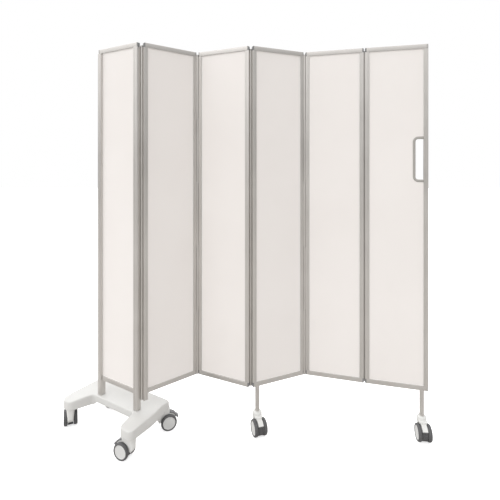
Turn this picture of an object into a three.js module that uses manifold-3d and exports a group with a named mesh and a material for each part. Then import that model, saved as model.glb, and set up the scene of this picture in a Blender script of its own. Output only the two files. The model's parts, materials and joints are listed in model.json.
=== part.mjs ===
// A folding privacy screen on wheels, for a ward.
// Six rigid boards in metal frames stand in a zigzag, joined by five full-length pin hinges.
// The first panel stands on a moulded base with four twin-wheel casters.
// The fourth and sixth panels each stand on one leg with a caster.
// Millimetres, +Z up. +X runs to the right and +Y away from the front.
// The origin is the middle of the bounding box's underside.

import * as THREE from "three";
import { mergeVertices } from "three/addons/utils/BufferGeometryUtils.js";
import Module from "manifold-3d";

const wasm = await Module();
wasm.setup();

// Overall sizes
const overallHeight = 1650;
const floorClearance = 200;
const panelWidth = 255;
const firstPanelWidth = 243;
const frameDepth = 15;

// Rest direction of each panel, in degrees from +X, positive towards +Y
const panelDirections = [-31.2, 39, -25.7, 24.5, -15.9, -14.8];
const halfTurn = 180;
const degree = Math.PI / halfTurn;

// Clearances
const fitGap = 0.3;
const runningGap = 0.5;
const cutOverrun = 2;

// Frame bars and boards
const stileWidth = 18;
const railHeight = 18;
const stileChamfer = 1.5;
const railCornerRadius = 8;
const railFreeCornerRadius = 2;
const boardThickness = 6;

// Posts of the first panel, which run down to the base
const postWidth = 22;
const postDepth = 24;
const postNoseRadius = 6;

// Hinges
const hingeGap = 4;
const hingeStandOff = 0.6;
const knuckleRadius = 5;
const knuckleCount = 5;
const knuckleEndGap = 3;
const pinRadius = 2;
const longStileDrop = 28;
const hingeSides = 12;
const pinSides = 8;

// Handle slot in the last panel
const slotWidth = 30;
const slotHeight = 167;
const slotCentreDrop = 482;
const rimBand = 12;
const rimDepth = 13;
const rimCornerRadius = 22;

// Moulded base
const baseTop = 133;
const baseHeight = 43;
const baseBottom = baseTop - baseHeight;
const frontTipTop = 127;
const rearTipTop = 117;
const plateBottom = 103;
const baseShift = -28;
const frontHalfSpacing = 181;
const rearHalfSpacing = 166;
const frontCasterReach = 84;
const rearCasterReach = 110;
const rearSwivelAside = 8;
const rearSwivelBack = 6;
const armTipRadius = 29;
const tipRoundnessShare = 0.9;
const leftArmInner = -110;
const rightArmInner = 136;
const rightWall = 219;
const rightTipTurn = 20;
const wallBend = 10;
const wallBendRadius = 300;
const plateFront = 22;
const innerCornerRadius = 18;
const shoulderFront = 40;
const shoulderRear = 64;

// Legs under the fourth and the last panel
const legRadius = 9;
const legWall = 1.8;
const legInset = 25;
const legTopPlug = 12;
const spigotRadius = 5.5;
const spigotLength = 11;
const legSides = 16;

// Casters
const wheelRadius = 34;
const wheelWidth = 17;
const casterWidth = 57;
const hubRadius = 28;
const hubRecess = 1.2;
const tyreShoulder = 4.5;
const trail = 21;
const axleRadius = 4;
const axleGrip = 12;
const stemRadius = 5.5;
const stemLength = 20;
const hoodHalfLength = 28;
const hoodHalfWidth = 17;
const hoodCornerRadius = 12;
const hoodHeight = 14;
const collarRadius = 19;
const collarBottom = 75;
const collarTop = 93;
const legHoodTop = 78;
const skirtBottom = 40;
const skirtCut = 12;
const hoodWall = 7;
const hoodInnerAngle = 120;
const bossRadius = 10;
const bossStartAngle = 160;
const bossEndAngle = 300;
const webStartAngle = 67;
const wheelSides = 20;
const collarSides = 20;

// Brake pedals, curved round the wheels
const pedalClearance = 2;
const pedalThickness = 4;
const pedalTipThickness = 9;
const pedalPivotRadius = 3.2;
const pedalWidth = 22;
const pedalRootAngle = 101;
const pedalKneeAngle = 150;
const pedalTipAngle = 164;
const pedalSteps = 5;

// Swivel of each caster, in degrees from its panel's own direction, where the wheels trail
const trailDirections = {
  base_front_left: 144.5, base_front_right: 188, base_rear_left: 1.2, base_rear_right: 52.5,
  middle_leg: -95.5, end_leg: -80.6,
};

// Materials
function material(color, roughness, metalness) {
  return new THREE.MeshStandardMaterial({ color, roughness, metalness });
}
const aluminium = material(0xb4b2ae, 0.36, 0.85);
const pinSteel = material(0x8f8d8a, 0.3, 0.9);
const boardWhite = material(0xeae7e3, 0.55, 0);
const rimGrey = material(0xb0aeaa, 0.4, 0.6);
const mouldedWhite = material(0xf0efed, 0.42, 0);
const wheelGrey = material(0x6d6d70, 0.6, 0);
const pedalGrey = material(0x5c5c60, 0.5, 0);

// Solids, booleans and meshes
function toSolid(geometry) {
  const bare = geometry.clone();
  bare.deleteAttribute("normal");
  bare.deleteAttribute("uv");
  const merged = mergeVertices(bare);
  const vertProperties = Float32Array.from(merged.attributes.position.array);
  const triVerts = Uint32Array.from(merged.index.array);
  return new wasm.Manifold(new wasm.Mesh({ numProp: 3, vertProperties, triVerts }));
}

function toGeometry(solid) {
  const mesh = solid.getMesh();
  const geometry = new THREE.BufferGeometry();
  geometry.setAttribute("position", new THREE.BufferAttribute(mesh.vertProperties.slice(), 3));
  geometry.setIndex(new THREE.BufferAttribute(mesh.triVerts.slice(), 1));
  geometry.computeVertexNormals();
  return geometry;
}

function named(name, shape, look) {
  const geometry = shape.isBufferGeometry ? shape : toGeometry(shape);
  const mesh = new THREE.Mesh(geometry, look);
  mesh.name = name;
  return mesh;
}

// An outline in X and Y, drawn upwards from one height to another
function prism(points, low, high) {
  const outline = new THREE.Shape(points.map(([x, y]) => new THREE.Vector2(x, y)));
  const options = { depth: high - low, bevelEnabled: false, steps: 1 };
  const geometry = new THREE.ExtrudeGeometry(outline, options);
  geometry.translate(0, 0, low);
  return geometry;
}

// An outline in X and Z, drawn along Y from one depth to another
function slab(points, near, far) {
  const geometry = prism(points.map(([x, z]) => [x, -z]), near, far);
  geometry.rotateX(-Math.PI / 2);
  return geometry;
}

// An upright round bar, its flats no nearer to the axis than the radius if it is a cutter
function bar(radius, sides, low, high, x, y, isCutter) {
  const corner = isCutter ? radius / Math.cos(Math.PI / sides) : radius;
  const geometry = new THREE.CylinderGeometry(corner, corner, high - low, sides);
  geometry.rotateX(Math.PI / 2);
  geometry.translate(x, y, (low + high) / 2);
  return geometry;
}

// A block from one corner to the other
function block(low, high) {
  const size = low.map((value, i) => high[i] - value);
  const geometry = new THREE.BoxGeometry(...size);
  geometry.translate(...low.map((value, i) => (value + high[i]) / 2));
  return geometry;
}

// The points of a closed outline with each corner turned on its own radius
function roundedOutline(corners, steps) {
  const points = [];
  corners.forEach(([x, y, radius = 0], i) => {
    const here = new THREE.Vector2(x, y);
    const [bx, by] = corners[(i + corners.length - 1) % corners.length];
    const [nx, ny] = corners[(i + 1) % corners.length];
    const back = new THREE.Vector2(bx, by).sub(here).normalize();
    const next = new THREE.Vector2(nx, ny).sub(here).normalize();
    const half = Math.acos(back.dot(next)) / 2;
    if (radius === 0) {
      points.push([x, y]);
      return;
    }
    const reach = radius / Math.tan(half);
    const centre = back.clone().add(next).normalize().multiplyScalar(radius / Math.sin(half));
    centre.add(here);
    const from = here.clone().addScaledVector(back, reach).sub(centre);
    const to = here.clone().addScaledVector(next, reach).sub(centre);
    const start = from.angle();
    let sweep = to.angle() - start;
    if (sweep > Math.PI) sweep -= 2 * Math.PI;
    if (sweep < -Math.PI) sweep += 2 * Math.PI;
    for (let step = 0; step <= steps; step += 1) {
      const angle = start + sweep * step / steps;
      points.push([centre.x + radius * Math.cos(angle), centre.y + radius * Math.sin(angle)]);
    }
  });
  return points;
}

// Heights that the frames share
const panelBottom = floorClearance;
const panelTop = overallHeight;
const stileBottom = panelBottom + railHeight + fitGap;
const stileTop = panelTop - railHeight - fitGap;
const hingeBottom = stileBottom + knuckleEndGap;
const hingeTop = stileTop - knuckleEndGap;
const knucklePitch = (hingeTop - hingeBottom) / knuckleCount;

// Each panel's own frame: X along the panel from its left end, Y through its depth
function depthOf(panel) {
  return panel === 1 ? postDepth : frameDepth;
}

function widthOf(panel) {
  return panel === 1 ? firstPanelWidth : panelWidth;
}

function stileWidthOf(panel) {
  return panel === 1 ? postWidth : stileWidth;
}

// A hinge behind the boards lets the fold point forward; every second one is in front
function hingeSide(hinge) {
  return hinge % 2 === 1 ? 1 : -1;
}

function hingeOffset(hinge, panel) {
  return hingeSide(hinge) * (depthOf(panel) / 2 + hingeStandOff);
}

// Where the hinge's axis lies in the frame of the panel at its left or its right
function hingeAxis(hinge, panel) {
  const x = panel === hinge ? widthOf(panel) + hingeGap / 2 : -hingeGap / 2;
  return [x, hingeOffset(hinge, panel)];
}

// The plan of an upright frame bar, sharp but for its chamfers and the first panel's round nose
function stilePlan(panel, isRight, side) {
  const halfDepth = depthOf(panel) / 2 * side;
  const width = stileWidthOf(panel);
  const outer = isRight ? widthOf(panel) : 0;
  const inner = isRight ? outer - width : width;
  const hasNose = panel === 1 && isRight;
  const corners = [
    [inner, halfDepth, stileChamfer],
    [inner, -halfDepth, stileChamfer],
    [outer, -halfDepth, hasNose ? postNoseRadius : stileChamfer],
    [outer, halfDepth, stileChamfer],
  ];
  return orient(roundedOutline(corners, hasNose ? 3 : 1));
}

// The first panel's posts reach the base, and the stile beside them hangs below its rail
function stileFoot(panel, isRight) {
  if (panel === 1) return baseTop + fitGap;
  return panel === 2 && !isRight ? panelBottom - longStileDrop : stileBottom;
}

// A hinge knuckle with the web that carries it
function knuckle(x, y, side, outer, low, high) {
  const barrel = bar(knuckleRadius, hingeSides, low, high, x, y, false);
  const root = outer + Math.sign(outer - x) * knuckleRadius;
  const face = y - side * knuckleRadius / 2;
  const web = block(
    [Math.min(x, root), Math.min(y, face), low],
    [Math.max(x, root), Math.max(y, face), high],
  );
  return toSolid(barrel).add(toSolid(web));
}

// An upright frame bar: its knuckles alternate with those of the panel beside it
function stile(panel, end) {
  const isRight = end === "right";
  const hinge = isRight ? panel : panel - 1;
  const isHinged = hinge >= 1 && hinge < panelDirections.length;
  const side = isHinged ? hingeSide(hinge) : 1;
  const outer = isRight ? widthOf(panel) : 0;
  const plan = stilePlan(panel, isRight, side);
  let body = toSolid(prism(plan, stileFoot(panel, isRight), stileTop));
  if (!isHinged) return body;
  const [x, y] = hingeAxis(hinge, panel);
  const recess = knuckleRadius + runningGap;
  for (let i = 0; i < knuckleCount; i += 1) {
    const low = hingeBottom + i * knucklePitch;
    const high = low + knucklePitch;
    const isOwn = i % 2 === (isRight ? 0 : 1);
    if (isOwn) {
      body = body.add(knuckle(x, y, side, outer, low + runningGap, high - runningGap));
    } else {
      const cut = bar(recess, hingeSides, low - runningGap, high + runningGap, x, y, true);
      body = body.subtract(toSolid(cut));
    }
  }
  const boreLow = hingeBottom - cutOverrun;
  const boreHigh = hingeTop + cutOverrun;
  return body.subtract(toSolid(bar(pinRadius + fitGap, pinSides, boreLow, boreHigh, x, y, true)));
}

// Points in counter-clockwise order, as an outline needs them
function orient(points) {
  const outline = points.map(([x, y]) => new THREE.Vector2(x, y));
  return THREE.ShapeUtils.area(outline) < 0 ? points.slice().reverse() : points;
}

function hingePin(hinge) {
  const [x, y] = hingeAxis(hinge, hinge);
  return bar(pinRadius, pinSides, hingeBottom, hingeTop, x, y, false);
}

// A level frame bar with rounded outer corners
function rail(panel, isTop) {
  const halfDepth = frameDepth / 2;
  const last = panelDirections.length;
  let left = 0;
  let right = widthOf(panel);
  if (!isTop && panel === 1) {
    left = postWidth + fitGap;
    right -= postWidth + fitGap;
  }
  if (!isTop && panel === 2) left = stileWidth + fitGap;
  const low = isTop ? panelTop - railHeight : panelBottom;
  const high = low + railHeight;
  const leftRadius = panel === 1 ? railFreeCornerRadius : railCornerRadius;
  const rightRadius = panel === last ? railFreeCornerRadius : railCornerRadius;
  const isLeftEnd = left === 0;
  const isRightEnd = right === widthOf(panel);
  const outerLeft = isLeftEnd ? leftRadius : 0;
  const outerRight = isRightEnd ? rightRadius : 0;
  const corners = isTop
    ? [[left, low], [right, low], [right, high, outerRight], [left, high, outerLeft]]
    : [[left, low, outerLeft], [right, low, outerRight], [right, high], [left, high]];
  const body = toSolid(slab(roundedOutline(corners, 4), -halfDepth, halfDepth));
  const legX = legPlace(panel);
  if (isTop || legX === null) return body;
  const boreLow = panelBottom - cutOverrun;
  const boreHigh = panelBottom + spigotLength + fitGap;
  const bore = bar(spigotRadius + fitGap, pinSides, boreLow, boreHigh, legX, 0, true);
  return body.subtract(toSolid(bore));
}

// Where a panel's leg stands along the panel, or null if it has none
function legPlace(panel) {
  if (panel === 4) return legInset;
  if (panel === panelDirections.length) return widthOf(panel) - legInset;
  return null;
}

// The handle slot's edges in the last panel's frame
const slotRight = panelWidth - stileWidth;
const slotLeft = slotRight - slotWidth;
const slotMiddle = panelTop - slotCentreDrop;
const slotTop = slotMiddle + slotHeight / 2;
const slotBottom = slotMiddle - slotHeight / 2;

function board(panel) {
  const left = stileWidthOf(panel) + fitGap;
  const right = widthOf(panel) - stileWidthOf(panel) - fitGap;
  const low = stileBottom;
  const high = stileTop;
  const half = boardThickness / 2;
  if (panel < panelDirections.length) return block([left, -half, low], [right, half, high]);
  const rimLeft = slotLeft - rimBand - fitGap;
  const rimLow = slotBottom - rimBand - fitGap;
  const rimHigh = slotTop + rimBand + fitGap;
  const corners = [
    [left, low], [right, low], [right, rimLow], [rimLeft, rimLow, rimCornerRadius],
    [rimLeft, rimHigh, rimCornerRadius], [right, rimHigh], [right, high], [left, high],
  ];
  return slab(roundedOutline(corners, 5), -half, half);
}

// The frame round the handle slot, open to the stile
function handleRim() {
  const right = slotRight - fitGap;
  const left = slotLeft - rimBand;
  const low = slotBottom - rimBand;
  const high = slotTop + rimBand;
  const innerRadius = rimCornerRadius - rimBand;
  const corners = [
    [right, low], [right, slotBottom], [slotLeft, slotBottom, innerRadius],
    [slotLeft, slotTop, innerRadius], [right, slotTop], [right, high],
    [left, high, rimCornerRadius], [left, low, rimCornerRadius],
  ];
  return slab(orient(roundedOutline(corners, 5)), -rimDepth / 2, rimDepth / 2);
}

// The tube between a panel and its caster, with a spigot into the rail
function leg() {
  const top = panelBottom - fitGap;
  const bottom = collarTop + fitGap;
  const bore = legRadius - legWall;
  const profile = [
    [0, top - legTopPlug], [bore, top - legTopPlug], [bore, bottom], [legRadius, bottom],
    [legRadius, top], [spigotRadius, top], [spigotRadius, top + spigotLength], [0, top + spigotLength],
  ];
  return lathe(profile, legSides);
}

// A solid turned about the upright axis
function lathe(profile, sides) {
  const geometry = new THREE.LatheGeometry(profile.map(([r, z]) => new THREE.Vector2(r, z)), sides);
  geometry.rotateX(Math.PI / 2);
  return toSolid(geometry);
}

// The moulded base in its own frame: X along the first panel, Y to the rear
function base() {
  const frontTip = frontHalfSpacing + armTipRadius;
  const rearTip = rearHalfSpacing + armTipRadius;
  const front = -(frontCasterReach + armTipRadius);
  const rear = rearCasterReach + armTipRadius;
  const frontTipInner = frontHalfSpacing - armTipRadius;
  const turn = armTipRadius * tipRoundnessShare;
  const corners = [
    [rightWall, front, rightTipTurn], [rightWall, wallBend, wallBendRadius],
    [rearTip, rear, turn], [-rearTip, rear, turn], [-frontTip, front, turn],
    [-frontTipInner, front, turn], [leftArmInner, -plateFront, innerCornerRadius],
    [rightArmInner, -plateFront, innerCornerRadius], [frontTipInner, front, turn],
  ];
  const outline = orient(roundedOutline(corners, 5));
  let body = toSolid(prism(outline, baseBottom, baseTop));
  const reach = rightWall + cutOverrun;
  const side = [
    [front - cutOverrun, baseBottom - cutOverrun], [rear + cutOverrun, baseBottom - cutOverrun],
    [rear + cutOverrun, rearTipTop], [shoulderRear, baseTop], [-shoulderFront, baseTop],
    [front - cutOverrun, frontTipTop],
  ];
  const envelope = slab(side, -reach, reach);
  envelope.rotateZ(Math.PI / 2);
  body = body.intersect(toSolid(envelope));
  const under = block(
    [leftArmInner + innerCornerRadius, front, baseBottom - cutOverrun],
    [rightArmInner - innerCornerRadius, rear, plateBottom],
  );
  body = body.subtract(toSolid(under));
  for (const [x, y] of Object.values(basePlaces)) {
    const boreTop = baseBottom + stemLength + fitGap;
    const bore = bar(stemRadius + fitGap, pinSides, baseBottom - cutOverrun, boreTop, x, y, true);
    body = body.subtract(toSolid(bore));
  }
  return body;
}

const basePlaces = {
  base_front_left: [-frontHalfSpacing, -frontCasterReach],
  base_front_right: [frontHalfSpacing, -frontCasterReach],
  base_rear_left: [-rearHalfSpacing - rearSwivelAside, rearCasterReach + rearSwivelBack],
  base_rear_right: [rearHalfSpacing + rearSwivelAside, rearCasterReach + rearSwivelBack],
};

// A caster's own frame: the swivel axis at X 0, the wheels trailing along -X
function wheel(isLeft) {
  const inner = (casterWidth - 2 * wheelWidth) / 2;
  const rounded = wheelRadius / Math.cos(Math.PI / wheelSides);
  const profile = [
    [0, axleGrip], [axleRadius + fitGap, axleGrip], [axleRadius + fitGap, 0], [rounded - tyreShoulder, 0],
    [rounded, tyreShoulder], [rounded, wheelWidth - tyreShoulder], [rounded - tyreShoulder, wheelWidth],
    [hubRadius + hubRecess, wheelWidth], [hubRadius, wheelWidth - hubRecess], [0, wheelWidth - hubRecess],
  ];
  const points = profile.map(([r, y]) => new THREE.Vector2(r, y));
  const geometry = new THREE.LatheGeometry(points, wheelSides, Math.PI / wheelSides);
  if (!isLeft) geometry.rotateX(Math.PI);
  geometry.translate(-trail, isLeft ? inner : -inner, wheelRadius);
  return toSolid(geometry);
}

function levelBar(radius, sides, x, z, near, far, isCutter) {
  const corner = isCutter ? radius / Math.cos(Math.PI / sides) : radius;
  const geometry = new THREE.CylinderGeometry(corner, corner, far - near, sides);
  geometry.translate(x, (near + far) / 2, z);
  return geometry;
}

// Points on an arc round the wheels' axle, from one angle in degrees to another
function wheelArc(radius, start, end, steps) {
  return Array.from({ length: steps + 1 }, (_, i) => {
    const angle = (start + (end - start) * i / steps) * degree;
    return [-trail + radius * Math.cos(angle), wheelRadius + radius * Math.sin(angle)];
  });
}

// The wheels' greatest radius, at the corners of their facets
const wheelCorner = wheelRadius / Math.cos(Math.PI / wheelSides);
const webHalf = casterWidth / 2 - wheelWidth - runningGap;
const pedalInner = wheelCorner + pedalClearance;
const [[pedalPivotX, pedalPivotZ]] = wheelArc(pedalInner + pedalThickness / 2, pedalRootAngle, 0, 1);

// The white housing between and over the wheels, with its stem
function casterHousing(isOnBase, hasPedal) {
  const hoodTop = isOnBase ? baseBottom - fitGap : legHoodTop;
  const hoodBottom = hoodTop - hoodHeight;
  const skirtTip = hoodHalfLength - skirtCut;
  const skirt = [
    [0, hoodTop], [0, skirtBottom - skirtCut], [skirtTip, skirtBottom - skirtCut],
    [hoodHalfLength, skirtBottom + skirtCut], [hoodHalfLength, hoodTop],
  ];
  const plan = orient(roundedOutline([
    [-hoodHalfLength, -hoodHalfWidth, hoodCornerRadius], [hoodHalfLength, -hoodHalfWidth, hoodCornerRadius],
    [hoodHalfLength, hoodHalfWidth, hoodCornerRadius], [-hoodHalfLength, hoodHalfWidth, hoodCornerRadius],
  ], 3));
  const front = slab(orient(skirt), -hoodHalfWidth - cutOverrun, hoodHalfWidth + cutOverrun);
  let body = toSolid(front).intersect(toSolid(prism(plan, 0, hoodTop)));
  body = body.add(toSolid(prism(plan, hoodBottom, hoodTop)));
  const wheelRoom = wheelCorner + runningGap;
  for (const [near, far] of [[-casterWidth, -webHalf], [webHalf, casterWidth]]) {
    const room = levelBar(wheelRoom, wheelSides, -trail, wheelRadius, near, far, true);
    body = body.subtract(toSolid(room));
  }
  const web = [
    ...wheelArc(wheelRoom, webStartAngle, pedalTipAngle, pedalSteps),
    ...wheelArc(wheelRoom - hoodWall, pedalTipAngle, hoodInnerAngle, 2),
    ...wheelArc(bossRadius, bossStartAngle, bossEndAngle, pedalSteps),
    [skirtTip, skirtBottom - skirtCut], [skirtTip, hoodTop - cutOverrun],
  ];
  body = body.add(toSolid(slab(orient(web), -webHalf, webHalf)));
  const grip = webHalf + axleGrip;
  body = body.add(toSolid(levelBar(axleRadius, pinSides, -trail, wheelRadius, -grip, grip, false)));
  if (!isOnBase) {
    body = body.add(toSolid(bar(collarRadius, collarSides, collarBottom, collarTop, 0, 0, false)));
  }
  const stemTop = (isOnBase ? baseBottom : collarTop) + stemLength;
  body = body.add(toSolid(bar(stemRadius, pinSides, hoodBottom, stemTop, 0, 0, false)));
  if (!hasPedal) return body;
  const groove = pedalPivotRadius + runningGap;
  const half = pedalWidth / 2 + runningGap;
  const place = [pedalPivotX, pedalPivotZ, -half, half];
  return body.subtract(toSolid(levelBar(groove, hingeSides, ...place, true)));
}

// The brake pedal: a strip curved over the wheels, from its round pivot down to its broad tip
function brakePedal() {
  const outer = pedalInner + pedalThickness;
  const tip = pedalInner + pedalTipThickness;
  const corners = [
    ...wheelArc(pedalInner, pedalRootAngle, pedalTipAngle, pedalSteps),
    ...wheelArc(tip, pedalTipAngle, pedalKneeAngle, 1),
    ...wheelArc(outer, pedalKneeAngle, pedalRootAngle, pedalSteps),
  ];
  const half = pedalWidth / 2;
  const strip = toSolid(slab(orient(corners), -half, half));
  const pivot = levelBar(pedalPivotRadius, hingeSides, pedalPivotX, pedalPivotZ, -half, half, false);
  return strip.add(toSolid(pivot));
}

// Group one caster's pieces
function caster(name, isOnBase, hasPedal) {
  const group = new THREE.Group();
  group.add(named(`${name}_caster_housing`, casterHousing(isOnBase, hasPedal), mouldedWhite));
  group.add(named(`${name}_wheel_left`, wheel(true), wheelGrey));
  group.add(named(`${name}_wheel_right`, wheel(false), wheelGrey));
  if (hasPedal) group.add(named(`${name}_brake_pedal`, brakePedal(), pedalGrey));
  group.rotation.z = (trailDirections[name] - halfTurn) * degree;
  return group;
}

// One panel with what stands on it
function panelGroup(panel) {
  const group = new THREE.Group();
  const name = `panel_${panel}`;
  const upright = panel === 1 ? "post" : "stile";
  group.add(named(`${name}_left_${upright}`, stile(panel, "left"), aluminium));
  group.add(named(`${name}_right_${upright}`, stile(panel, "right"), aluminium));
  group.add(named(`${name}_top_rail`, rail(panel, true), aluminium));
  group.add(named(`${name}_bottom_rail`, rail(panel, false), aluminium));
  group.add(named(`${name}_board`, board(panel), boardWhite));
  if (panel < panelDirections.length) {
    group.add(named(`hinge_${panel}_pin`, hingePin(panel), pinSteel));
  }
  if (panel === panelDirections.length) {
    group.add(named("handle_slot_rim", handleRim(), rimGrey));
  }
  const legX = legPlace(panel);
  if (legX !== null) {
    const legName = panel === panelDirections.length ? "end_leg" : "middle_leg";
    const legGroup = new THREE.Group();
    legGroup.add(named(`${legName}_tube`, leg(), aluminium));
    legGroup.add(caster(legName, false, false));
    legGroup.position.x = legX;
    group.add(legGroup);
  }
  return group;
}

function baseGroup() {
  const group = new THREE.Group();
  group.add(named("base", base(), mouldedWhite));
  for (const [name, [x, y]] of Object.entries(basePlaces)) {
    const wheels = caster(name, true, name.endsWith("right"));
    wheels.position.set(x, y, 0);
    group.add(wheels);
  }
  group.position.x = firstPanelWidth / 2 + baseShift;
  return group;
}

// The chain of panels, each one hung on the last
const screen = new THREE.Group();
const first = panelGroup(1);
first.rotation.z = panelDirections[0] * degree;
first.add(baseGroup());
screen.add(first);
let carrier = first;
for (let hinge = 1; hinge < panelDirections.length; hinge += 1) {
  const joint = new THREE.Group();
  const [leftX, leftY] = hingeAxis(hinge, hinge);
  joint.position.set(leftX, leftY, 0);
  joint.rotation.z = (panelDirections[hinge] - panelDirections[hinge - 1]) * degree;
  const next = panelGroup(hinge + 1);
  const [rightX, rightY] = hingeAxis(hinge, hinge + 1);
  next.position.set(-rightX, -rightY, 0);
  joint.add(next);
  carrier.add(joint);
  carrier = next;
}
screen.updateMatrixWorld(true);
const bounds = new THREE.Box3().setFromObject(screen, true);
const centre = bounds.getCenter(new THREE.Vector3());
screen.position.set(-centre.x, -centre.y, -bounds.min.z);

export default screen;
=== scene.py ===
import json
import math

import bmesh
import bpy
import numpy as np
from mathutils import Matrix, Vector
from mathutils.geometry import delaunay_2d_cdt


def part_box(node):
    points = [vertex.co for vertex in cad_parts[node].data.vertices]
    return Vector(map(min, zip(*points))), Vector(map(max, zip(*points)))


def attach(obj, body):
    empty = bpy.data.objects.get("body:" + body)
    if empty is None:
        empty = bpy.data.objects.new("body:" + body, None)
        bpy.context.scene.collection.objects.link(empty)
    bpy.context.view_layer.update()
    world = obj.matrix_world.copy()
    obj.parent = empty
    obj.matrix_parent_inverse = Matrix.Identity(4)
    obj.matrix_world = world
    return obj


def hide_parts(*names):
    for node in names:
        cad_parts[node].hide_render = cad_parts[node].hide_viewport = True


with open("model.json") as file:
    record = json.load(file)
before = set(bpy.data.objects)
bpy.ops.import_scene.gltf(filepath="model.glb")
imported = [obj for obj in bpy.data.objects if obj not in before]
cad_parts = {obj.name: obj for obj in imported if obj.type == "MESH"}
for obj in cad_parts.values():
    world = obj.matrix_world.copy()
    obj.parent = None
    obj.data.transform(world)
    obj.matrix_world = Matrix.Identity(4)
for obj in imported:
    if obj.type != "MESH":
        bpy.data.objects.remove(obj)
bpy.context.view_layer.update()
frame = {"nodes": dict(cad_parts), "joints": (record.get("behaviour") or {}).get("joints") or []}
record_joints = {joint["name"]: joint for joint in frame["joints"]}

# The photographer's view: a level camera at eye height in front of the screen.
# The lens is shifted down, so the uprights stay upright in the picture.
eye = Vector((0.0392, -1.7643, 1.1644))
sensor_width = 36.0
lens_length = 29.33
shift_down = 0.1797

camera_data = bpy.data.cameras.new("camera")
camera_data.sensor_width = sensor_width
camera_data.lens = lens_length
camera_data.shift_y = -shift_down
camera = bpy.data.objects.new("camera", camera_data)
camera.location = eye
camera.rotation_euler = (math.radians(90), 0, 0)
bpy.context.scene.collection.objects.link(camera)
bpy.context.scene.camera = camera

# The boards are rigid sheets of white laminate, cut to size and slid into the frames.
# Their satin face has a faint orange peel and a slightly warm, uneven white.
# The nodes of the boards keep their shape and take this finish.
laminate_white = (0.88, 0.842, 0.815, 1)
laminate_shade = (0.855, 0.815, 0.787, 1)
laminate_roughness = 0.48
peel_size = 0.0016
peel_depth = 0.00004
cloud_size = 0.35
laminate_span = (0.35, 0.75)
laminate_swing = 0.1


class Flow:
    """A number, vector or colour that runs out of one node. Sums and products add Math nodes."""

    def __init__(self, look, socket):
        self.look = look
        self.socket = socket

    def maths(self, operation, *values):
        return self.look.node("ShaderNodeMath", values, operation=operation)

    def __add__(self, other):
        return self.maths("ADD", self, other)

    __radd__ = __add__

    def __mul__(self, other):
        return self.maths("MULTIPLY", self, other)

    __rmul__ = __mul__

    def __sub__(self, other):
        return self.maths("SUBTRACT", self, other)

    def __rsub__(self, other):
        return self.maths("SUBTRACT", other, self)

    def held(self, low, high):
        """The number spread from low to high onto 0 to 1, and held there."""
        inputs = {"Value": self, "From Min": low, "From Max": high}
        return self.look.node("ShaderNodeMapRange", inputs, out="Result", clamp=True)


class Look:
    """A material while it is built. Its values stand on the shader, and flows are joined to it."""

    def __init__(self, name, colour, roughness, metallic=0.0):
        self.material = bpy.data.materials.new(name)
        self.material.use_nodes = True
        self.tree = self.material.node_tree
        self.shader = self.tree.nodes["Principled BSDF"]
        self.material.diffuse_color = colour
        self.set("Base Color", colour)
        self.set("Roughness", roughness)
        self.set("Metallic", metallic)

    def set(self, name, value):
        """Gives one input of the shader its value or its flow."""
        self.join(value, self.shader.inputs[name])

    def join(self, value, socket):
        if isinstance(value, Flow):
            self.tree.links.new(value.socket, socket)
        else:
            socket.default_value = value

    def node(self, kind, inputs=(), out=0, stops=(), **settings):
        """Any node: its settings first, then the stops of its ramp, then its inputs."""
        made = self.tree.nodes.new(kind)
        for key, value in settings.items():
            setattr(made, key, value)
        for position, colour in stops:
            made.color_ramp.elements.new(position).color = colour
        pairs = inputs.items() if isinstance(inputs, dict) else enumerate(inputs)
        for key, value in pairs:
            self.join(value, made.inputs[key])
        return Flow(self, made.outputs[out])

    def points(self, cell, turn):
        """Object coordinates, turned about the upright and counted in cells."""
        place = self.node("ShaderNodeTexCoord", out="Object")
        inputs = {"Vector": place, "Rotation": (0, 0, turn), "Scale": cell}
        return self.node("ShaderNodeMapping", inputs, vector_type="TEXTURE")

    def noise(self, cell, turn=0.0, detail=2.0):
        """Soft noise from 0 to 1 with cells of the given size."""
        sizes = cell if isinstance(cell, tuple) else (cell, cell, cell)
        inputs = {"Vector": self.points(sizes, turn), "Scale": 1.0, "Detail": detail}
        return self.node("ShaderNodeTexNoise", inputs, out="Fac")

    def tint(self, share, first, second):
        """A colour between two, by a share that varies over the surface."""
        inputs = {0: share, 6: first, 7: second}
        return self.node("ShaderNodeMix", inputs, out=2, data_type="RGBA")

    def relief(self, height, depth, strength=1.0):
        """Joins a bump of the given depth to the shader."""
        inputs = {"Height": height, "Distance": depth, "Strength": strength}
        self.set("Normal", self.node("ShaderNodeBump", inputs, out="Normal"))


def laminate():
    look = Look("white_laminate", laminate_white, laminate_roughness)
    clouds = look.noise(cloud_size, detail=3.0)
    peel = look.noise(peel_size, detail=1.0)
    look.set("Base Color", look.tint(clouds.held(*laminate_span), laminate_white, laminate_shade))
    look.set("Roughness", laminate_roughness + laminate_swing * (clouds - 0.5))
    look.relief(peel, peel_depth)
    return look.material


def dress(node, material):
    """Gives a node of the frame its finish."""
    slots = frame["nodes"][node].data.materials
    slots.clear()
    slots.append(material)


panel_count = 6
laminate_finish = laminate()
for number in range(1, panel_count + 1):
    dress(f"panel_{number}_board", laminate_finish)

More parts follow.
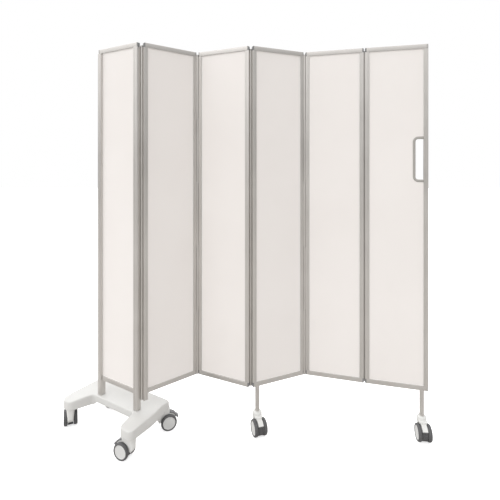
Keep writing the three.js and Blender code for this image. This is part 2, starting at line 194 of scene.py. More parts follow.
# The uprights are drawn aluminium bars, satin anodised, with a fine groove along each face.
# A rounded channel in the back or front corner takes the knuckles of the next panel's hinge.
# The first panel's two posts are deeper and run down to the base; the right one has a rounded nose.
aluminium_light = (0.66, 0.637, 0.61, 1)
aluminium_dark = (0.56, 0.538, 0.512, 1)
aluminium_roughness = 0.36
aluminium_metallic = 0.92
grain_length = 0.15
grain_width = 0.0009
upright_grain_depth = 0.00003
level_grain_depth = 0.00001
metal_cloud_size = 0.12
metal_span = (0.3, 0.7)
metal_relief = 0.6
grain_swing = 0.16
cloud_swing = 0.08
knuckle_radius = 0.005
channel_radius = 0.0055
channel_steps = 10
channel_corner = 0.004
middle_play = 0.0005
hinge_gap = 0.004
hinge_stand_off = 0.0006
edge_radius = 0.0015
inner_edge_radius = 0.0008
nose_radius = 0.006
groove_width = 0.0008
groove_depth = 0.0006
groove_inset = 0.005
bar_bevel = 0.0004
double_reach = 0.000001


def drawn_metal(name, turn, is_level):
    """Satin aluminium whose grain runs along the bar."""
    look = Look(name, aluminium_light, aluminium_roughness, aluminium_metallic)
    fine = grain_width
    cell = (grain_length, fine, fine) if is_level else (fine, fine, grain_length)
    grain = look.noise(cell, turn)
    clouds = look.noise(metal_cloud_size)
    streaks = (0.6 * grain + 0.4 * clouds).held(*metal_span)
    look.set("Base Color", look.tint(streaks, aluminium_dark, aluminium_light))
    look.set("Roughness", aluminium_roughness + grain_swing * (grain - 0.5) + cloud_swing * (clouds - 0.5))
    look.relief(grain, level_grain_depth if is_level else upright_grain_depth, metal_relief)
    return look.material


def plan_spots(node):
    """The points of a node seen from above, each one once."""
    vertices = frame["nodes"][node].data.vertices
    return np.array(sorted({(round(v.co.x, 6), round(v.co.y, 6)) for v in vertices}))


def panel_place(number):
    """A panel's own axes at rest: X along it from its left end, Y through it, Z up."""
    spots = plan_spots(f"panel_{number}_top_rail")
    middle = spots.mean(0)
    along = np.linalg.eigh(np.cov((spots - middle).T))[1][:, -1]
    along = along * np.sign(along[0])
    reach = (spots - middle) @ along
    left = middle + along * reach.min()
    turn = math.atan2(along[1], along[0])
    place = Matrix.Translation((left[0], left[1], 0)) @ Matrix.Rotation(turn, 4, "Z")
    return place, turn, reach.max() - reach.min()


def local_box(node, place):
    """Lowest and highest corner of a node in the axes of a place."""
    back = place.inverted()
    spots = np.array([back @ v.co for v in frame["nodes"][node].data.vertices])
    return spots.min(0), spots.max(0)


def turned_corners(corners, steps=5):
    """A closed outline from corners (x, y, radius), each one turned on its own radius."""
    points = []
    for i, (x, y, radius) in enumerate(corners):
        here = np.array((x, y))
        if radius == 0:
            points.append(here)
            continue
        back = np.array(corners[i - 1][:2]) - here
        ahead = np.array(corners[(i + 1) % len(corners)][:2]) - here
        back = back / np.linalg.norm(back)
        ahead = ahead / np.linalg.norm(ahead)
        half = math.acos(np.clip(back @ ahead, -1, 1)) / 2
        middle = here + (back + ahead) / np.linalg.norm(back + ahead) * radius / math.sin(half)
        first = here + back * radius / math.tan(half) - middle
        last = here + ahead * radius / math.tan(half) - middle
        start = math.atan2(first[1], first[0])
        sweep = math.remainder(math.atan2(last[1], last[0]) - start, math.tau)
        for step in range(steps + 1):
            angle = start + sweep * step / steps
            points.append(middle + radius * np.array((math.cos(angle), math.sin(angle))))
    return [tuple(point) for point in points]


def arc(centre, radius, start, end, steps):
    """Points on an arc, its angles in degrees."""
    points = []
    for step in range(steps + 1):
        angle = math.radians(start + (end - start) * step / steps)
        points.append((centre[0] + radius * math.cos(angle), centre[1] + radius * math.sin(angle)))
    return points


def drawn(outline, low, high):
    """A bar of the given outline in X and Y, drawn up Z."""
    count = len(outline)
    vertices = [(x, y, z) for z in (low, high) for x, y in outline]
    faces = [tuple(reversed(range(count))), tuple(range(count, 2 * count))]
    for i in range(count):
        j = (i + 1) % count
        faces.append((i, j, count + j, count + i))
    return vertices, faces


def joined(*shells):
    """Several shells as the one mesh of a piece."""
    vertices = []
    faces = []
    for shell_vertices, shell_faces in shells:
        start = len(vertices)
        vertices.extend(shell_vertices)
        faces.extend(tuple(start + i for i in face) for face in shell_faces)
    return vertices, faces


def turned(shell, turn):
    """A shell moved by a matrix."""
    vertices, faces = shell
    return [tuple(turn @ Vector(v)) for v in vertices], faces


def finish_piece(name, mesh, body, material, stands_for=(), bevel=0.0, sharp=35):
    """Makes the mesh a piece that rides on a body, with soft edges where a bevel is given."""
    mesh.materials.clear()
    mesh.materials.append(material)
    mesh.polygons.foreach_set("use_smooth", [True] * len(mesh.polygons))
    mesh.set_sharp_from_angle(angle=math.radians(sharp))
    piece = bpy.data.objects.new(name, mesh)
    bpy.context.scene.collection.objects.link(piece)
    if bevel:
        edge = piece.modifiers.new("soft_edges", "BEVEL")
        edge.width = bevel
        edge.segments = 2
        edge.limit_method = "ANGLE"
        edge.angle_limit = math.radians(sharp)
        edge.harden_normals = True
    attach(piece, body)
    if stands_for:
        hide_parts(*stands_for)
    return piece


def make_mesh(name, shell, place):
    """A mesh from a shell in the axes of a place, with its faces pointing out."""
    mesh = bpy.data.meshes.new(name)
    mesh.from_pydata(*shell_lists(shell))
    mesh.transform(place)
    work = bmesh.new()
    work.from_mesh(mesh)
    bmesh.ops.remove_doubles(work, verts=work.verts, dist=double_reach)
    bmesh.ops.recalc_face_normals(work, faces=work.faces)
    work.to_mesh(mesh)
    work.free()
    return mesh


def shell_lists(shell):
    vertices, faces = shell
    return vertices, [], faces


places = {}
turns = {}
widths = {}
for number in range(1, panel_count + 1):
    places[number], turns[number], widths[number] = panel_place(number)


def panel_body(number):
    return "screen_base" if number == 1 else f"panel_{number}"


def upright_outline(width, depth, hinge_side, has_nose):
    """Plan of a right-hand upright whose outer face is at X 0; hinge_side is 1, -1 or 0."""
    half = depth / 2
    side = hinge_side or 1
    groove = -width + groove_inset
    nose = nose_radius if has_nose else edge_radius
    outline = turned_corners([
        (-width, half, inner_edge_radius), (-width, -half, inner_edge_radius),
        (groove, -half, 0), (groove, -half + groove_depth, 0),
        (groove + groove_width, -half + groove_depth, 0), (groove + groove_width, -half, 0),
        (0, -half, nose), (0, 0, 0), (0, half, edge_radius),
        (groove + groove_width, half, 0), (groove + groove_width, half - groove_depth, 0),
        (groove, half - groove_depth, 0), (groove, half, 0),
    ])
    if hinge_side:
        axis_x = hinge_gap / 2
        axis_y = half + hinge_stand_off
        low = math.atan2(-math.sqrt(channel_radius**2 - axis_x**2), -axis_x)
        high = math.atan2(-hinge_stand_off, -math.sqrt(channel_radius**2 - hinge_stand_off**2))
        ends = (math.degrees(low), math.degrees(high))
        channel = arc((axis_x, axis_y), channel_radius, *ends, channel_steps)
        is_corner = [x > -channel_corner and y > middle_play for x, y in outline]
        first = is_corner.index(True)
        kept = [point for point, corner in zip(outline, is_corner) if not corner]
        outline = kept[:first] + channel + kept[first:]
    return [(x, y * side) for x, y in outline]


upright_metal = drawn_metal("upright_aluminium", 0.0, False)
post_depth = 0.024
post_width = 0.022
frame_depth = 0.015
stile_width = 0.018


def make_upright(number, end):
    is_right = end == "right"
    hinge = number if is_right else number - 1
    is_hinged = 1 <= hinge < panel_count
    hinge_side = (1 if hinge % 2 else -1) if is_hinged else 0
    is_first = number == 1
    node = f"panel_{number}_{end}_{'post' if is_first else 'stile'}"
    place = places[number]
    low, high = local_box(node, place)
    depth = post_depth if is_first else frame_depth
    width = post_width if is_first else stile_width
    outline = upright_outline(width, depth, hinge_side, is_first and is_right)
    shell = drawn(outline, low[2], high[2])
    shift = Matrix.Translation((widths[number], 0, 0)) if is_right else Matrix.Scale(-1, 4, (1, 0, 0))
    mesh = make_mesh(f"{node}_bar", shell, place @ shift)
    body = panel_body(number)
    finish_piece(f"{node}_bar", mesh, body, upright_metal, (node,), bar_bevel)


for number in range(1, panel_count + 1):
    for end in ("left", "right"):
        make_upright(number, end)

# The rails are the same drawn metal, cut square and laid over the ends of the uprights.
# A moulded cap closes each end: dark and rounded beside a hinge, grey and square at a free edge.
cap_length = 0.0065
cap_proud = 0.00025
cap_gap = 0.0002
cap_step = 0.0052
cap_relief = 0.0038
cap_seam = 0.00005
cap_bevel = 0.0008
cap_steps = 8
end_play = 0.001
hinge_cap_radius = 0.0055
free_cap_radius = 0.002
cap_dark = (0.25, 0.25, 0.25, 1)
cap_grey = (0.50, 0.485, 0.465, 1)
plastic_cloud_size = 0.03
plastic_grain_size = 0.0006
plastic_grain_depth = 0.00003
plastic_span = (0.3, 0.75)


def moulded(name, light, dark, roughness, grain=plastic_grain_size):
    """Moulded plastic with a fine sparked grain and a little unevenness."""
    look = Look(name, light, roughness)
    fine = look.noise(grain, detail=1.0)
    clouds = look.noise(plastic_cloud_size, detail=3.0)
    look.set("Base Color", look.tint(clouds.held(*plastic_span), light, dark))
    look.set("Roughness", roughness + 0.12 * (clouds - 0.5) + 0.08 * (fine - 0.5))
    look.relief(fine, plastic_grain_depth)
    return look.material


def darker(colour, share):
    return tuple(value * share for value in colour[:3]) + (1,)


dark_cap_finish = moulded("cap_dark_nylon", cap_dark, darker(cap_dark, 0.8), 0.45)
grey_cap_finish = moulded("cap_grey_nylon", cap_grey, darker(cap_grey, 0.9), 0.4)


def rail_outline(depth, height):
    """Section of a rail, its lower edge at Y 0."""
    half = depth / 2
    corners = [(-half, 0), (half, 0), (half, height), (-half, height)]
    return turned_corners([(*corner, inner_edge_radius) for corner in corners])


def cap_outline(length, height, radius):
    """Side view of a cap from its inner end at X 0, its outer corner rounded and upwards."""
    corners = [(0, 0, 0), (length, 0, 0), (length, height, radius), (0, height, 0)]
    return turned_corners(corners, cap_steps)


def make_rail(number, is_top):
    node = f"panel_{number}_{'top' if is_top else 'bottom'}_rail"
    place = places[number]
    low, high = local_box(node, place)
    height = high[2] - low[2]
    ends = []
    if low[0] < end_play:
        ends.append(("left", number > 1))
    if high[0] > widths[number] - end_play:
        ends.append(("right", number < panel_count))
    left = low[0] + (cap_length if any(end == "left" for end, _ in ends) else 0)
    right = high[0] - (cap_length if any(end == "right" for end, _ in ends) else 0)
    metal = drawn_metal(f"rail_aluminium_{number}_{'top' if is_top else 'bottom'}", turns[number], True)
    # Drawn up Z, then laid along X; the section's height goes up for a top rail and down otherwise
    rise = 1 if is_top else -1
    base = low[2] if is_top else high[2]
    lay = Matrix(((0, 0, 1, 0), (1, 0, 0, 0), (0, rise, 0, base), (0, 0, 0, 1)))
    mesh = make_mesh(f"{node}_bar", drawn(rail_outline(frame_depth, height), left, right), place @ lay)
    finish_piece(f"{node}_bar", mesh, panel_body(number), metal, (node,), bar_bevel)
    for end, is_hinged in ends:
        radius = hinge_cap_radius if is_hinged else free_cap_radius
        half = frame_depth / 2 + cap_proud
        aim = 1 if end == "right" else -1
        start = (right if end == "right" else left) + aim * cap_gap
        length = cap_length - cap_gap
        stand = Matrix(((aim, 0, 0, start), (0, 0, 1, 0), (0, rise, 0, base), (0, 0, 0, 1)))
        if is_hinged:
            # The part beside the knuckles is shorter, so that they can turn
            hinge = number if end == "right" else number - 1
            side = 1 if hinge % 2 else -1
            step = half - cap_step
            full = drawn(cap_outline(length, height, radius), -half, step)
            short = drawn(cap_outline(length - cap_relief, height, cap_gap), step + cap_seam, half)
            shell = turned(joined(full, short), Matrix.Scale(side, 4, (0, 0, 1)))
        else:
            shell = drawn(cap_outline(length, height, radius), -half, half)
        finish = dark_cap_finish if is_hinged else grey_cap_finish
        name = f"{node}_{end}_cap"
        mesh = make_mesh(name, shell, place @ stand)
        finish_piece(name, mesh, panel_body(number), finish, (), cap_bevel)


for number in range(1, panel_count + 1):
    make_rail(number, True)
    make_rail(number, False)

# A soft white bead holds each board in its frame: a quarter-round strip along all four edges.
# It lies on the board's face, front and back, and stops at the handle slot of the last panel.
bead_radius = 0.0012
bead_steps = 5
bead_white = (0.88, 0.87, 0.85, 1)
bead_gap = 0.0001
bead_finish = moulded("bead_vinyl", bead_white, darker(bead_white, 0.95), 0.5)


def bead_strip(start, end, inward, face, side):
    """A quarter-round strip from start to end in X and Z, its corner on the frame."""
    start = Vector(start)
    end = Vector(end)
    inward = Vector(inward)
    ring = [(0, 0)] + arc((0, 0), bead_radius, 0, 90, bead_steps)
    vertices = []
    for spot in (start, end):
        for across, out in ring:
            flat = spot + inward * across
            vertices.append((flat.x, side * (face + out), flat.y))
    count = len(ring)
    faces = [tuple(range(count)), tuple(range(count, 2 * count))]
    for i in range(count):
        j = (i + 1) % count
        faces.append((i, j, count + j, count + i))
    return vertices, faces


def make_bead(number):
    place = places[number]
    low, high = local_box(f"panel_{number}_board", place)
    left, right = low[0], high[0]
    bottom, top = low[2], high[2]
    face = high[1] + bead_gap
    edges = [
        ((left, bottom), (left, top), (1, 0)), ((left, bottom), (right, bottom), (0, 1)),
        ((left, top), (right, top), (0, -1)),
    ]
    if number < panel_count:
        edges.append(((right, bottom), (right, top), (-1, 0)))
    else:
        rim_low, rim_high = local_box("handle_slot_rim", place)
        edges.append(((right, bottom), (right, rim_low[2] - bead_gap), (-1, 0)))
        edges.append(((right, rim_high[2] + bead_gap), (right, top), (-1, 0)))
    strips = [bead_strip(*edge, face, side) for edge in edges for side in (1, -1)]
    name = f"panel_{number}_bead"
    mesh = make_mesh(name, joined(*strips), place)
    finish_piece(name, mesh, panel_body(number), bead_finish)


for number in range(1, panel_count + 1):
    make_bead(number)

# Each hinge is a row of aluminium knuckles on a drawn steel pin.
# The knuckles of two neighbours alternate, and each stands on a short leaf from its own upright.
# The pins keep the shape of their nodes.
pin_light = (0.56, 0.55, 0.54, 1)
knuckle_count = 5
knuckle_play = 0.0005
row_rise = 0.011
row_fall = 0.020
first_row_fall = 0.049
leaf_thickness = 0.0025
leaf_reach = 0.005
knuckle_bevel = 0.0005
knuckle_steps = 32
pin_shade = 0.85
pin_grain = (0.0004, 0.0004, 0.03)
pin_grain_depth = 0.00002


def geometry_tree(name, inputs):
    """An empty tree with its own inputs and one geometry output."""
    tree = bpy.data.node_groups.new(name, "GeometryNodeTree")
    tree.interface.new_socket("Geometry", in_out="OUTPUT", socket_type="NodeSocketGeometry")
    tree.interface.new_socket("Geometry", in_out="INPUT", socket_type="NodeSocketGeometry")
    for label, kind in inputs.items():
        tree.interface.new_socket(label, in_out="INPUT", socket_type=f"NodeSocket{kind}")
    return tree


def plant(tree, kind, inputs=None, **settings):
    """A node in a geometry tree, with its settings first and then its values and links."""
    made = tree.nodes.new(kind)
    for key, value in settings.items():
        setattr(made, key, value)
    for key, value in (inputs or {}).items():
        if isinstance(value, bpy.types.NodeSocket):
            tree.links.new(value, made.inputs[key])
        else:
            made.inputs[key].default_value = value
    return made


def grown(tree, values, source=None):
    """The plain mesh that a tree makes, with its inputs set by their names."""
    holder = bpy.data.objects.new("holder", source or bpy.data.meshes.new("holder"))
    bpy.context.scene.collection.objects.link(holder)
    modifier = holder.modifiers.new("tree", "NODES")
    modifier.node_group = tree
    sockets = {item.name: item.identifier for item in tree.interface.items_tree if item.in_out == "INPUT"}
    for label, value in values.items():
        modifier[sockets[label]] = value
    depsgraph = bpy.context.evaluated_depsgraph_get()
    mesh = bpy.data.meshes.new_from_object(holder.evaluated_get(depsgraph))
    bpy.data.objects.remove(holder)
    return mesh


def copied(tree, points, piece, **more):
    """Real copies of a piece, one on each point."""
    inputs = {"Points": points, "Instance": piece, **more}
    copies = plant(tree, "GeometryNodeInstanceOnPoints", inputs)
    return plant(tree, "GeometryNodeRealizeInstances", {"Geometry": copies.outputs[0]}).outputs[0]


def close_tree(tree, geometry, finish):
    """Ends a tree: its geometry gets its material and goes out."""
    coated = plant(tree, "GeometryNodeSetMaterial", {"Geometry": geometry, "Material": finish})
    plant(tree, "NodeGroupOutput", {0: coated.outputs[0]})
    return tree


def knuckle_tree():
    tree = geometry_tree("knuckle_row", {
        "Count": "Int", "Pitch": "Float", "Length": "Float", "Radius": "Float",
        "Leaf": "Vector", "Leaf place": "Vector", "Finish": "Material",
    })
    given = plant(tree, "NodeGroupInput").outputs
    barrel = plant(tree, "GeometryNodeMeshCylinder", {
        "Vertices": knuckle_steps, "Radius": given["Radius"], "Depth": given["Length"],
    })
    leaf = plant(tree, "GeometryNodeMeshCube", {"Size": given["Leaf"]})
    moved = plant(tree, "GeometryNodeTransform", {
        "Geometry": leaf.outputs["Mesh"], "Translation": given["Leaf place"],
    })
    both = plant(tree, "GeometryNodeJoinGeometry")
    tree.links.new(barrel.outputs["Mesh"], both.inputs[0])
    tree.links.new(moved.outputs[0], both.inputs[0])
    step = plant(tree, "ShaderNodeCombineXYZ", {"Z": given["Pitch"]})
    row = plant(tree, "GeometryNodeMeshLine", {"Count": given["Count"], "Offset": step.outputs[0]})
    return close_tree(tree, copied(tree, row.outputs[0], both.outputs[0]), given["Finish"])


def drawn_steel():
    look = Look("pin_steel", pin_light, 0.3, 1.0)
    grain = look.noise(pin_grain)
    look.set("Base Color", look.tint(grain, darker(pin_light, pin_shade), pin_light))
    look.set("Roughness", 0.24 + 0.12 * grain)
    look.relief(grain, pin_grain_depth)
    return look.material


knuckle_row = knuckle_tree()
steel_finish = drawn_steel()


def make_knuckles(hinge, number):
    """The knuckles of one hinge that belong to one of its two panels."""
    place = places[number]
    low, high = local_box(f"hinge_{hinge}_pin", place)
    bottom = low[2] - (first_row_fall if hinge == 1 else row_fall)
    pitch = (high[2] + row_rise - bottom) / knuckle_count
    is_left = number == hinge
    first = 0 if is_left else 1
    count = (knuckle_count + 1 - first) // 2
    side = 1 if hinge % 2 else -1
    axis_x = (low[0] + high[0]) / 2
    axis_y = (low[1] + high[1]) / 2
    inward = -1 if is_left else 1
    reach = hinge_gap / 2 + leaf_reach
    length = pitch - 2 * knuckle_play
    values = {
        "Count": count, "Pitch": 2 * pitch, "Length": length, "Radius": knuckle_radius,
        "Leaf": (reach, leaf_thickness, length),
        "Leaf place": (inward * reach / 2, -side * leaf_thickness / 2, 0), "Finish": upright_metal,
    }
    mesh = grown(knuckle_row, values)
    start = bottom + (first + 0.5) * pitch
    mesh.transform(place @ Matrix.Translation((axis_x, axis_y, start)))
    name = f"hinge_{hinge}_knuckles_{'left' if is_left else 'right'}"
    finish_piece(name, mesh, panel_body(number), upright_metal, (), knuckle_bevel)


for hinge in range(1, panel_count):
    make_knuckles(hinge, hinge)
    make_knuckles(hinge, hinge + 1)
    dress(f"hinge_{hinge}_pin", steel_finish)

# The handle is a slot in the last board, beside its outer upright.
# A smooth grey rim, bent to a D, lines the slot and gives the fingers a round edge.
rim_band = 0.0105
rim_corner = 0.016
rim_round = 0.0042
rim_steps = 14
rim_round_steps = 6
rim_roughness = 0.36
rim_shade = 0.92
rim_grey = (0.40, 0.385, 0.36, 1)


def rim_tree():
    inputs = {"Width": "Float", "Depth": "Float", "Round": "Float", "Finish": "Material"}
    tree = geometry_tree("rim_sweep", inputs)
    given = plant(tree, "NodeGroupInput").outputs
    section = plant(tree, "GeometryNodeCurvePrimitiveQuadrilateral", {
        "Width": given["Width"], "Height": given["Depth"],
    })
    soft = plant(tree, "GeometryNodeFilletCurve", {
        "Curve": section.outputs[0], "Radius": given["Round"], "Count": rim_round_steps,
    }, mode="POLY")
    swept = plant(tree, "GeometryNodeCurveToMesh", {
        "Curve": given["Geometry"], "Profile Curve": soft.outputs[0], "Fill Caps": True,
    })
    return close_tree(tree, swept.outputs[0], given["Finish"])


def rim_path(left, right, low, high):
    """The middle line of the rim in X and Y, from its lower end round to its upper end."""
    corners = [(right, low, 0), (left, low, rim_corner), (left, high, rim_corner), (right, high, 0)]
    curve = bpy.data.curves.new("rim_path", "CURVE")
    curve.dimensions = "3D"
    points = turned_corners(corners, rim_steps)
    spline = curve.splines.new("POLY")
    spline.points.add(len(points) - 1)
    for point, (x, y) in zip(spline.points, points):
        point.co = (x, y, 0, 1)
    curve.twist_mode = "Z_UP"
    return curve


def make_rim():
    place = places[panel_count]
    low, high = local_box("handle_slot_rim", place)
    half = rim_band / 2
    path = rim_path(low[0] + half, high[0], low[2] + half, high[2] - half)
    finish = moulded("rim_satin_grey", rim_grey, darker(rim_grey, rim_shade), rim_roughness)
    values = {"Width": rim_band, "Depth": high[1] - low[1], "Round": rim_round, "Finish": finish}
    mesh = grown(rim_tree(), values, path)
    mesh.transform(place @ Matrix.Rotation(math.pi / 2, 4, "X"))
    finish_piece("handle_rim", mesh, panel_body(panel_count), finish, ("handle_slot_rim",))


make_rim()

# The base is one white moulding, a U in plan: a broad plate with two arms that reach forward.
# Its upper edges are rounded, it falls to the tips and to the rear, and the plate is hollowed from below.
base_white = (0.685, 0.68, 0.662, 1)
base_roughness = 0.42
base_grain_size = 0.0009
base_grain_depth = 0.00004
base_cloud_size = 0.06
base_span = (0.35, 0.8)
base_shade = 0.965
arm_tip = 0.029
tip_turn = 0.9 * arm_tip
front_half = 0.181
rear_half = 0.166
right_wall = 0.219
right_tip_turn = 0.020
wall_bend = 0.010
wall_bend_turn = 0.300
left_arm_inner = -0.110
right_arm_inner = 0.136
plate_front = 0.022
inner_corner = 0.018
shoulder_front = 0.040
shoulder_rear = 0.064
front_tip_drop = 0.006
rear_tip_drop = 0.016
plate_lift = 0.013
top_round = 0.005
mould_inset = 0.001
foot_round = 0.003
slope_blend = 0.015
grid_step = 0.010
outline_steps = 12
sheet_tolerance = 1e-9
round_steps = 6

base_low, base_high = local_box("base", places[1])
base_place = places[1] @ Matrix.Translation((base_low[0] + front_half + arm_tip, 0, 0))
front_edge = base_low[1]
rear_edge = base_high[1]


def eased(value):
    """Zero below zero, then a slope that sets in softly."""
    return 0 if value <= 0 else math.hypot(value, slope_blend) - slope_blend


def base_top(y):
    """Height of the upper face at a place along the arms."""
    front = front_tip_drop * eased(-shoulder_front - y) / eased(-shoulder_front - front_edge)
    rear = rear_tip_drop * eased(y - shoulder_rear) / eased(rear_edge - shoulder_rear)
    return base_high[2] - front - rear


def base_foot(x):
    """Height of the underside, raised under the plate."""
    share = min(1, max(0, min(x - left_arm_inner, right_arm_inner - x) / inner_corner))
    return base_low[2] + plate_lift * share * share * (3 - 2 * share)


def base_outline():
    front_outer = front_half + arm_tip
    rear_outer = rear_half + arm_tip
    front_inner = front_half - arm_tip
    corners = [
        (-front_outer, front_edge, tip_turn), (-front_inner, front_edge, tip_turn),
        (left_arm_inner, -plate_front, inner_corner), (right_arm_inner, -plate_front, inner_corner),
        (front_inner, front_edge, tip_turn), (right_wall, front_edge, right_tip_turn),
        (right_wall, wall_bend, wall_bend_turn),
        (rear_outer, rear_edge, tip_turn), (-rear_outer, rear_edge, tip_turn),
    ]
    return turned_corners(corners, outline_steps)


def with_extra_points(outline, step):
    """The outline with its long straights divided."""
    points = []
    for i, here in enumerate(outline):
        ahead = outline[(i + 1) % len(outline)]
        count = max(1, round(math.dist(here, ahead) / step))
        for part in range(count):
            share = part / count
            points.append((here[0] + (ahead[0] - here[0]) * share, here[1] + (ahead[1] - here[1]) * share))
    return points


def outward(outline):
    """The unit normals of a counter-clockwise outline."""
    points = np.array(outline)
    along = np.roll(points, -1, 0) - np.roll(points, 1, 0)
    along /= np.linalg.norm(along, axis=1)[:, None]
    return np.stack((along[:, 1], -along[:, 0]), 1)


def filled(outline, height, step):
    """A sheet over the outline, with points of its own every step, at a height that varies."""
    points = np.array(outline)
    low = points.min(0)
    high = points.max(0)
    grid = []
    for x in np.arange(low[0] + step / 2, high[0], step):
        for y in np.arange(low[1] + step / 2, high[1], step):
            if inside((x, y), points) and np.linalg.norm(points - (x, y), axis=1).min() > step / 2:
                grid.append(Vector((x, y)))
    spots = [Vector(point) for point in outline] + grid
    border = list(range(len(outline)))
    flat, _, faces, _, _, _ = delaunay_2d_cdt(spots, [], [border], 1, sheet_tolerance)
    return [(point.x, point.y, height(point.x, point.y)) for point in flat], [tuple(face) for face in faces]


def inside(point, polygon):
    """Whether a point lies in a polygon."""
    x, y = point
    first = polygon
    second = np.roll(polygon, -1, 0)
    crosses = (first[:, 1] > y) != (second[:, 1] > y)
    gaps = np.where(second[:, 1] == first[:, 1], 1, second[:, 1] - first[:, 1])
    reach = first[:, 0] + (y - first[:, 1]) * (second[:, 0] - first[:, 0]) / gaps
    return bool(np.count_nonzero(crosses & (x < reach)) % 2)


def make_base():
    points = np.array(with_extra_points(base_outline(), grid_step))
    points = points - outward(points) * mould_inset
    out = outward(points)
    rings = []
    quarter = [math.pi / 2 * step / round_steps for step in range(round_steps + 1)]
    for angle in quarter:
        rise = foot_round * (1 - math.cos(angle))
        rings.append((foot_round * (1 - math.sin(angle)), lambda x, y, rise=rise: base_foot(x) + rise))
    for angle in quarter:
        drop = top_round * (1 - math.sin(angle))
        rings.append((top_round * (1 - math.cos(angle)), lambda x, y, drop=drop: base_top(y) - drop))
    vertices = []
    for inset, height in rings:
        flat = points - out * inset
        vertices.extend((x, y, height(x, y)) for x, y in flat)
    count = len(points)
    faces = []
    for ring in range(len(rings) - 1):
        for i in range(count):
            j = (i + 1) % count
            first = ring * count
            faces.append((first + i, first + j, first + count + j, first + count + i))
    upper = filled(points - out * rings[-1][0], lambda x, y: base_top(y), grid_step)
    lower = filled(points - out * rings[0][0], lambda x, y: base_foot(x), grid_step)
    shell = joined((vertices, faces), upper, lower)
    look = Look("base_moulding", base_white, base_roughness)
    grain = look.noise(base_grain_size, detail=1.0)
    clouds = look.noise(base_cloud_size, detail=3.0)
    shade = darker(base_white, base_shade)
    look.set("Base Color", look.tint(clouds.held(*base_span), base_white, shade))
    look.set("Roughness", base_roughness + 0.12 * (clouds - 0.5) + 0.06 * (grain - 0.5))
    look.relief(grain, base_grain_depth)
    mesh = make_mesh("base_moulding", shell, base_place)
    finish_piece("base_moulding", mesh, "screen_base", look.material, ("base",), sharp=60)


make_base()

# Two aluminium tubes carry the fourth and the last panel: drawn, cut square, with a turned edge.
# Each one goes up into the bottom rail and down onto the collar of its caster.
tube_radius = 0.009
tube_edge = 0.0006
tube_steps = 48


def lathed(profile, steps=tube_steps):
    """A closed shell from a profile (radius, height), turned about Z."""
    vertices = []
    faces = []
    rings = []
    for radius, height in profile:
        if radius == 0:
            rings.append([len(vertices)])
            vertices.append((0, 0, height))
            continue
        rings.append(list(range(len(vertices), len(vertices) + steps)))
        for step in range(steps):
            angle = math.tau * step / steps
            vertices.append((radius * math.cos(angle), radius * math.sin(angle), height))
    for lower, upper in zip(rings, rings[1:]):
        for step in range(steps):
            ahead = (step + 1) % steps
            if len(lower) == 1:
                faces.append((lower[0], upper[ahead], upper[step]))
            elif len(upper) == 1:
                faces.append((lower[step], lower[ahead], upper[0]))
            else:
                faces.append((lower[step], lower[ahead], upper[ahead], upper[step]))
    return vertices, faces


rail_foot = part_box("panel_4_bottom_rail")[0].z
for leg, number in (("middle_leg", 4), ("end_leg", panel_count)):
    low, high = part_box(f"{leg}_tube")
    place = Matrix.Translation(((low.x + high.x) / 2, (low.y + high.y) / 2, 0))
    bottom = low.z
    profile = [
        (0, bottom), (tube_radius - tube_edge, bottom), (tube_radius, bottom + tube_edge),
        (tube_radius, rail_foot - tube_edge), (tube_radius - tube_edge, rail_foot), (0, rail_foot),
    ]
    name = f"{leg}_drawn_tube"
    mesh = make_mesh(name, lathed(profile), place)
    finish_piece(name, mesh, panel_body(number), upright_metal, (f"{leg}_tube",))

# Each caster has two wheels: a white hub disc in a soft grey tyre with rounded shoulders.
# The hub is ribbed on its inner side and turns on a stub of the axle.
wheel_radius = 0.034
hub_radius = 0.0268
wheel_width = 0.017
tyre_half = 0.00805
tyre_wall = 0.0044
hub_recess = 0.0022
hub_dish = 0.0014
axle_bore = 0.0043
axle_depth = 0.012
wheel_seam = 0.0006
hub_boss = 0.0085
hub_web = 0.006
hub_lip = 0.003
hub_set_back = 0.0003
hub_edge_back = 0.0008
hub_edge_width = 0.0016
hub_centre = 0.006
hub_gap = 0.0002
hub_steps = 64
hub_bevel = 0.0003
rib_count = 10
rib_thickness = 0.0014
rib_start = 0.008
rib_rise = 0.0052
rib_middle = 0.0036
tyre_steps = 72
tread_steps = 16
tyre_roughness = 0.5
tyre_grain_size = 0.0007
tyre_grain_depth = 0.00005
tyre_cloud_size = 0.006
tyre_span = (0.35, 0.75)
tyre_shade = 0.78
tyre_grey = (0.105, 0.105, 0.108, 1)
hub_white = (0.72, 0.72, 0.71, 1)
hub_grain_size = 0.0008
caster_names = (
    "base_front_left", "base_front_right", "base_rear_left", "base_rear_right", "middle_leg", "end_leg",
)


def caster_place(name):
    """A caster's own axes: X ahead of the wheels, Y along the axle, Z up through the swivel."""
    pivot = record_joints[f"{name}_swivel"]["pos_m"]
    axle = Vector(record_joints[f"{name}_wheel_left"]["axis"]).normalized()
    ahead = axle.cross(Vector((0, 0, 1)))
    turn = Matrix((ahead, axle, (0, 0, 1))).transposed().to_4x4()
    return Matrix.Translation((pivot[0], pivot[1], 0)) @ turn


caster_places = {name: caster_place(name) for name in caster_names}
axle_joint = record_joints["end_leg_wheel_left"]
trail = -(caster_places["end_leg"].inverted() @ Vector(axle_joint["pos_m"])).x
wheel_box = local_box("end_leg_wheel_left", caster_places["end_leg"])
wheel_inner = float(wheel_box[0][1])


def along_axle(aim=1, inner=0.0):
    """Lays what is turned on the lathe along the axle, its foot at a place on it."""
    return Matrix(((1, 0, 0, -trail), (0, 0, aim, aim * inner), (0, 1, 0, wheel_radius), (0, 0, 0, 1)))


